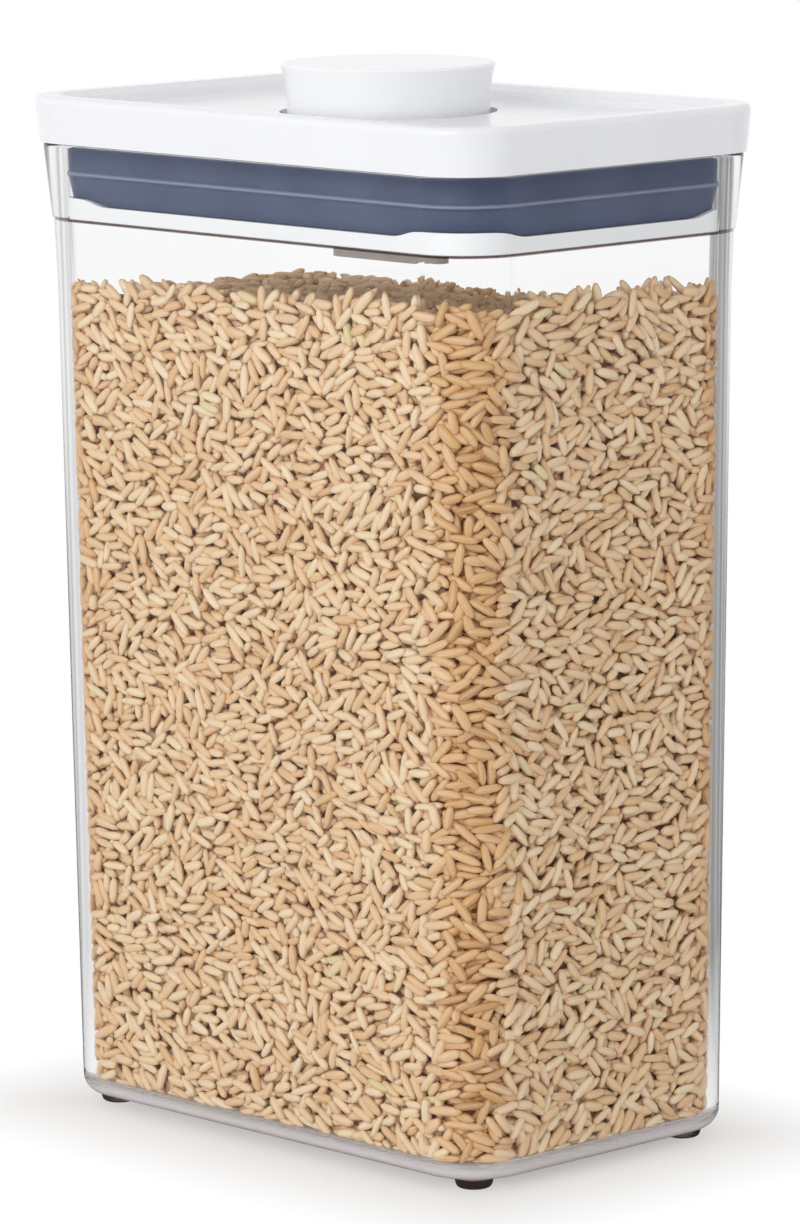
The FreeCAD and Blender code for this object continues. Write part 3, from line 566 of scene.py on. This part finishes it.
def in_corner(centre):
    """1 for a grain in one of the four upright corners, fading to 0 on the flat walls."""
    past = (np.abs(centre[:, :2]) - (FLOOR_HALF - INNER_CORNER)) / CORNER_FADE
    return past.clip(0, 1).prod(1)


def keep_inside(points):
    """Lifts grains off the floor and moves them in from the wall, until no point of them passes these."""
    points[..., 2] += np.maximum(FLOOR_Z + WALL_GAP - points[..., 2].min(1), 0)[:, None]
    past = np.maximum(np.abs(points[..., :2]) - (inside_half(points[..., 2]) - INNER_CORNER), 0)
    distance = np.linalg.norm(past, axis=-1)
    outside = distance - (INNER_CORNER - WALL_GAP - floor_rounding(points[..., 2] - FLOOR_Z))
    outward = past * np.sign(points[..., :2]) / np.maximum(distance, MM)[..., None]
    furthest = outside.argmax(1)[:, None, None]
    excess = np.maximum(outside.max(1), 0)[:, None, None]
    points[..., :2] -= np.take_along_axis(outward, furthest, 1) * excess


def grain_points(rng, shape, centre, along, normal, halves):
    """Places of the points of all grains, each rolled and bowed a little."""
    count = len(centre)
    across = np.cross(normal, along)
    across /= np.linalg.norm(across, axis=1)[:, None]
    deep = np.cross(along, across)
    roll = rng.normal(0, ROLL_SPREAD, count)[:, None]
    cos, sin = np.cos(roll), np.sin(roll)
    across, deep = across * cos + deep * sin, deep * cos - across * sin
    half_long, half_wide, half_deep = (half[:, None, None] for half in halves.T)
    bow = rng.normal(0, BOW_SPREAD, count)[:, None, None] * half_wide * (1 - shape[None, :, :1] ** 2)
    points = (centre[:, None, :] + along[:, None, :] * shape[None, :, :1] * half_long
              + across[:, None, :] * (shape[None, :, 1:2] * half_wide + bow)
              + deep[:, None, :] * shape[None, :, 2:3] * half_deep)
    keep_inside(points)
    return points


def grain_piece(name, rng, centre, along, normal, halves, material):
    """One mesh of many grains, each with its own tone and its own square of the texture map."""
    shape, faces = grain_shape()
    count, each = len(centre), len(shape)
    points = grain_points(rng, shape, centre, along, normal, halves)
    corners = [corner for face in faces for corner in face]
    sizes = np.array([len(face) for face in faces])
    mesh = bpy.data.meshes.new(name)
    loops = (np.array(corners)[None, :] + np.arange(count)[:, None] * each).ravel()
    mesh.vertices.add(count * each)
    mesh.vertices.foreach_set("co", points.astype(np.float32).ravel())
    mesh.loops.add(len(loops))
    mesh.loops.foreach_set("vertex_index", loops.astype(np.int32))
    totals = np.tile(sizes, count)
    mesh.polygons.add(len(totals))
    mesh.polygons.foreach_set("loop_start", (np.cumsum(totals) - totals).astype(np.int32))
    mesh.update(calc_edges=True)
    mesh.polygons.foreach_set("use_smooth", np.ones(len(totals), bool))
    tone = mesh.attributes.new("grain_tone_and_shade", "FLOAT", "POINT")
    spread, corner = rng.beta(2.2, 2.0, count), in_corner(centre)
    # Grains in the upright corners get darker tones: painted shade
    tones_and_shade = (FLAT_TONE + (1 - FLAT_TONE) * spread) * (1 - corner) + CORNER_SHADE_TONE * spread * corner
    tone.data.foreach_set("value", np.repeat(tones_and_shade, each).astype(np.float32))
    add_grain_map(mesh, count, faces, shape)
    mesh.materials.append(material)
    mesh.validate()
    piece = link(name, mesh)
    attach(piece, "container")


def add_grain_map(mesh, count, faces, shape):
    """Each grain fills one square of the map: its length one way, its girth the other."""
    spots = []
    for face in faces:
        body = [corner for corner in face if 0 < corner < len(shape) - 1]
        girths = [((corner - 1) % GRAIN_SIDES) / GRAIN_SIDES for corner in body]
        girths = [girth + 1 if max(girths) - girth > 0.5 else girth for girth in girths]
        lookup = dict(zip(body, girths))
        middle = sum(girths) / len(girths)
        for corner in face:
            girth = lookup.get(corner, middle)
            spots.append((0.5 + (0.5 - MAP_MARGIN) * shape[corner, 0],
                          MAP_MARGIN + (1 - 2 * MAP_MARGIN) * girth))
    spots = np.array(spots)
    square = np.stack([np.arange(count) % ATLAS, np.arange(count) // ATLAS], 1)
    places = (square[:, None, :] + spots[None, :, :]) / ATLAS
    layer = mesh.uv_layers.new(name="OFBake")
    layer.data.foreach_set("uv", places.astype(np.float32).ravel())


def add_core(material):
    """The closed mass of rice behind the outer grains, with the heap's sloping top."""
    ways = np.linspace(0, 1, CORE_AROUND, endpoint=False)
    low, _, _ = on_wall(ways, np.full_like(ways, FLOOR_Z))
    top = heap_top(low[:, 0], low[:, 1]) - CORE_DEPTH
    rings = []
    for z, inset in ((FLOOR_Z + 1.0 * MM, 2 * CORE_INSET), (FLOOR_Z + 3.0 * MM, CORE_INSET),
                     (top - 2.0 * MM, CORE_INSET), (top, 2 * CORE_INSET)):
        point, normal, _ = on_wall(ways, np.zeros_like(ways) + z)
        rings.append(point + normal * inset)
    for share in (0.8, 0.6, 0.4, 0.2):
        inner = rings[3] * np.array([share, share, 1])
        inner[:, 2] = heap_top(inner[:, 0], inner[:, 1]) - CORE_DEPTH
        rings.append(inner)
    faces = ring_faces(len(rings), CORE_AROUND, False)
    faces.append(tuple(range(CORE_AROUND))[::-1])
    faces.append(tuple(range((len(rings) - 1) * CORE_AROUND, len(rings) * CORE_AROUND)))
    mesh = bpy.data.meshes.new("rice_mass")
    mesh.from_pydata([tuple(place) for ring in rings for place in ring], [], faces)
    mesh.materials.append(material)
    piece = link("rice_mass", mesh)
    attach(piece, "container")


def add_rice():
    """All grains, split by height into pieces, and the core."""
    rng = np.random.default_rng(SEED)
    parts = [np.concatenate(pair) for pair in zip(wall_grains(rng), top_grains(rng))]
    pieces = math.ceil(len(parts[0]) / PIECE_GRAINS)
    order = np.argsort(parts[0][:, 2], kind="stable")
    material = grain_material()
    for k, chosen in enumerate(np.array_split(order, pieces)):
        grain_piece(f"rice_layer_{k + 1}", rng, *(part[chosen] for part in parts), material)
    add_core(core_material())


def mesh_piece(name, places, faces, material, body, node):
    """A smooth mesh that stands for a CAD node and moves with its body."""
    mesh = bpy.data.meshes.new(name)
    mesh.from_pydata([tuple(place) for place in places], [], faces)
    mesh.polygons.foreach_set("use_smooth", np.ones(len(mesh.polygons), bool))
    mesh.materials.append(material)
    piece = link(name, mesh)
    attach(piece, body)
    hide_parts(node)
    return piece


def ring_faces(rings, around, closed):
    """Quads between neighbouring rings of points; with closed, the last ring meets the first."""
    faces = []
    for ring in range(rings if closed else rings - 1):
        low, high = ring * around, (ring + 1) % rings * around
        for k in range(around):
            following = (k + 1) % around
            faces.append((low + k, low + following, high + following, high + k))
    return faces


def lid_outline(inset, corner):
    """Points round the lid's outline moved inwards: arcs at the corners, and points along the sides."""
    half = LID_HALF - inset
    arc = np.linspace(0, math.pi / 2, ARC_POINTS)
    points = []
    for turn, (sx, sy) in enumerate(((1, 1), (-1, 1), (-1, -1), (1, -1))):
        centre = (half - corner) * (sx, sy)
        way = turn * math.pi / 2 + arc
        bend = centre + corner * np.stack([np.cos(way), np.sin(way)], 1)
        if points:
            points.append(side_points(points[-1][-1], bend[0]))
        points.append(bend)
    points.append(side_points(points[-1][-1], points[0][0]))
    return np.concatenate(points)


def side_points(begin, end):
    """Points along a straight side, without its ends."""
    share = np.linspace(0, 1, SIDE_POINTS + 2)[1:-1, None]
    return begin + (end - begin) * share


def corner_lift(points):
    """How far the gasket's lower edge rises: full at the corners, with a smooth slope to the sides."""
    share = (np.abs(points) - (LID_HALF - CORNER_FLAT - CORNER_SLOPE)) / CORNER_SLOPE
    share = share.clip(0, 1).min(1)
    return CORNER_RISE * share ** 2 * (3 - 2 * share)


def add_gasket(material):
    """The sealing ring: a tapered lower lip, a rounded fin half way up and a plain upper band."""
    taper, edge, neck = 0.9 * MM, 0.35 * MM, 0.1 * MM
    fin_root, fin_half, fin_roundness = 1.9 * FIN_REACH, 1.1 * FIN_REACH, 0.8
    inner = GASKET_INSET + GASKET_WIDTH
    profile = [(inner, GASKET_LOW), (GASKET_INSET + taper + edge, GASKET_LOW),
               (GASKET_INSET + taper, GASKET_LOW + edge), (GASKET_INSET + neck, FIN_Z - fin_root)]
    for way in np.linspace(-1, 1, 9):
        swell = FIN_REACH * (0.5 + 0.5 * math.cos(math.pi * way)) ** fin_roundness
        profile.append((GASKET_INSET - swell, FIN_Z + fin_half * way))
    profile += [(GASKET_INSET, GASKET_HIGH - edge), (GASKET_INSET + edge, GASKET_HIGH),
                (inner, GASKET_HIGH)]
    places = []
    for inset, z in profile:
        corner = INNER_CORNER - GASKET_WIDTH if inset == inner else INNER_CORNER
        outline = lid_outline(inset, corner)
        fade = min(max((FIN_Z - FIN_REACH - z) / (FIN_Z - FIN_REACH - GASKET_LOW), 0), 1)
        places.append(np.column_stack([outline, z + corner_lift(outline) * fade]))
    faces = ring_faces(len(profile), len(places[0]), True)
    piece = mesh_piece("gasket_ring", np.concatenate(places), faces, material, "lid", "gasket")
    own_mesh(piece)


def add_spring(material):
    """The coil under the button: round wire on a helix."""
    low, high = (corner[2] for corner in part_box("return_spring"))
    around, steps = 10, 64 * SPRING_TURNS
    rise = high - low - SPRING_WIRE
    places = []
    for step in range(steps + 1):
        angle = 2 * math.pi * SPRING_TURNS * step / steps
        outward = np.array([math.cos(angle), math.sin(angle), 0.0])
        height = low + SPRING_WIRE / 2 + rise * step / steps
        centre = outward * SPRING_RADIUS + np.array([0, 0, height])
        for side in range(around):
            way = 2 * math.pi * side / around
            off_centre = outward * math.cos(way) + np.array([0, 0, math.sin(way)])
            places.append(centre + SPRING_WIRE / 2 * off_centre)
    faces = ring_faces(steps + 1, around, False)
    faces.append(tuple(range(around))[::-1])
    faces.append(tuple(range(steps * around, (steps + 1) * around)))
    piece = mesh_piece("spring_coil", places, faces, material, "lid", "return_spring")
    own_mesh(piece)


def dress(node, material):
    """Gives a CAD node its material."""
    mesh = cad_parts[node].data
    mesh.materials.clear()
    mesh.materials.append(material)


def dress_nodes():
    """Materials for the CAD pieces that keep their shape, and the two pieces rebuilt as meshes in their
    place.
    """
    glossy_peel, satin_peel = 0.0015 * MM, 0.006 * MM
    gloss = moulded_plastic(
        "white_gloss", srgb(246, 247, 250), srgb(243, 244, 248), (0.10, 0.15), glossy_peel)
    button_gloss = moulded_plastic(
        "button_gloss", srgb(253, 254, 255), srgb(251, 252, 254), (0.12, 0.18), glossy_peel)
    satin = moulded_plastic(
        "white_satin", srgb(253, 253, 254), srgb(250, 250, 252), (0.34, 0.45), satin_peel)
    acetal = moulded_plastic(
        "grey_acetal", srgb(216, 217, 220), srgb(206, 208, 212), (0.38, 0.5), satin_peel)
    wire = drawn_steel("spring_steel", srgb(206, 207, 209), srgb(160, 161, 164), (1, 1, 0.15))
    zinc = drawn_steel("screw_steel", srgb(214, 214, 216), srgb(170, 171, 176), (1, 1, 1))
    rubber = silicone()
    levers = [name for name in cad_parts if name.startswith("lever_") and "axle" not in name]
    finishes = {
        gloss: ["lid_cover"],
        button_gloss: ["button_cap"],
        satin: ["inner_frame", "seal_plate", "latch_housing"],
        acetal: ["plunger"] + levers,
        wire: ["latch_pin", "lever_axle_left", "lever_axle_right"],
        zinc: ["frame_screws"],
        clear_plastic(): ["canister"],
    }
    for material, names in finishes.items():
        for name in names:
            dress(name, material)
    add_gasket(rubber)
    add_spring(wire)


def add_area(name, place, aim, size, power):
    """A rectangular white lamp that points at a place."""
    data = bpy.data.lights.new(name, "AREA")
    data.shape = "RECTANGLE"
    data.size, data.size_y = size
    data.energy = power
    lamp = link(name, data)
    lamp.location = place
    lamp.rotation_euler = (Vector(aim) - Vector(place)).to_track_quat("-Z", "Y").to_euler()


def ray_level(kit, others, glossy, through, camera):
    """One colour for lighting rays, and others for what mirrors, clear plastic and the camera see."""
    rays = kit.add("ShaderNodeLightPath").outputs
    level = others
    kinds = (("Is Glossy Ray", glossy), ("Is Transmission Ray", through), ("Is Camera Ray", camera))
    for flag, seen in kinds:
        level = kit.mix(rays[flag], level, seen)
    return level


def studio_levels(kit, way):
    """How bright the studio looks in a mirror and through clear plastic.

    Towards the photograph's side it is dark. Behind the canister it is white, with stripes of darker
    card at the sides.
    """
    ahead, side = kit.vector("DOT_PRODUCT", way, TOWARD), kit.vector("DOT_PRODUCT", way, RIGHTWARD)
    mirrored = kit.math("MULTIPLY", kit.ramp(ahead, MIRROR_BACK, (1.0, MIRROR_SIDE)),
                        kit.ramp(ahead, MIRROR_FRONT, (1.0, MIRROR_DARK)))
    stripes = [(place, grey(level)) for place, level in SIDE_STRIPES]
    through = kit.stops(kit.ramp(side, (-1, 1), (0, 1)), stripes)
    return mirrored, through


def add_world():
    """Soft light, stronger from the sides than from above."""
    world = bpy.data.worlds.new("studio")
    bpy.context.scene.world = world
    world.use_nodes = True
    kit = Nodes(world.node_tree)
    way = kit.add("ShaderNodeTexCoord").outputs["Generated"]
    mirrored, through = studio_levels(kit, way)
    upward = kit.vector("DOT_PRODUCT", way, (0.0, 0.0, 1.0))
    lighting = kit.ramp(upward, (0.0, 1.0), (HORIZON, ZENITH))
    level = ray_level(kit, lighting, mirrored, through, grey(1))
    room = kit.add("ShaderNodeBackground", Color=level, Strength=1.0)
    out = kit.add("ShaderNodeOutputWorld")
    kit.put(out.inputs["Surface"], room.outputs["Background"])


def add_floor():
    """A white table that keeps the shadow near the canister and is plain white to the camera beyond."""
    mesh = bpy.data.meshes.new("floor")
    corners = ((-1, -1), (1, -1), (1, 1), (-1, 1))
    mesh.from_pydata([(x * FLOOR_REACH, y * FLOOR_REACH, 0) for x, y in corners], [], [(0, 1, 2, 3)])
    floor = link("floor", mesh)
    material, kit, shader, output = new_material("floor_white")
    where = kit.place()
    reach = kit.vector("LENGTH", where)
    past = kit.vector("SUBTRACT", kit.vector("ABSOLUTE", where), (*FLOOR_HALF, 0))
    beside = kit.vector("LENGTH", kit.vector("MAXIMUM", past, (0, 0, 0)))
    mirrored, through = studio_levels(kit, kit.vector("NORMALIZE", where))
    mirrored = kit.math("MULTIPLY", mirrored, kit.ramp(reach, MIRROR_FADE, (MIRROR_DARK, 1.0)))
    through = kit.mix(kit.ramp(reach, THROUGH_FADE, (0, 1)), grey(1), through)
    # Painted shade: through the clear base, the floor right under the canister looks dimmer
    through = kit.mix(kit.ramp(beside, (0, UNDER_SHADE_REACH), (0, 1)), grey(UNDER_PAINTED_SHADE), through)
    shader.inputs["Base Color"].default_value = grey(FLOOR_WHITE)
    shader.inputs["Roughness"].default_value = 0.7
    shader.inputs["Specular IOR Level"].default_value = 0.2
    seen = kit.ramp(beside, (0, SHADOW_REACH), (SHADOW_GLOW, 1.0))
    share = ray_level(kit, grey(0), grey(1), grey(THROUGH_GLOW), seen)
    level = ray_level(kit, grey(1), mirrored, through, grey(1))
    glow = kit.add("ShaderNodeEmission", Color=level, Strength=1.0)
    mixed = kit.add("ShaderNodeMixShader", Fac=share)
    kit.put(mixed.inputs[1], shader.outputs["BSDF"])
    kit.put(mixed.inputs[2], glow.outputs["Emission"])
    kit.put(output.inputs["Surface"], mixed.outputs["Shader"])
    mesh.materials.append(material)


def add_stage():
    """White floor and backdrop, soft light from the left and above."""
    add_world()
    add_floor()
    add_area("key_left", KEY_PLACE, KEY_AIM, KEY_SIZE, KEY_POWER)
    add_area("top_soft", TOP_PLACE, TOP_AIM, TOP_SIZE, TOP_POWER)
    bpy.context.scene.view_settings.view_transform = "Standard"


add_camera()
add_stage()
dress_nodes()
add_rice()
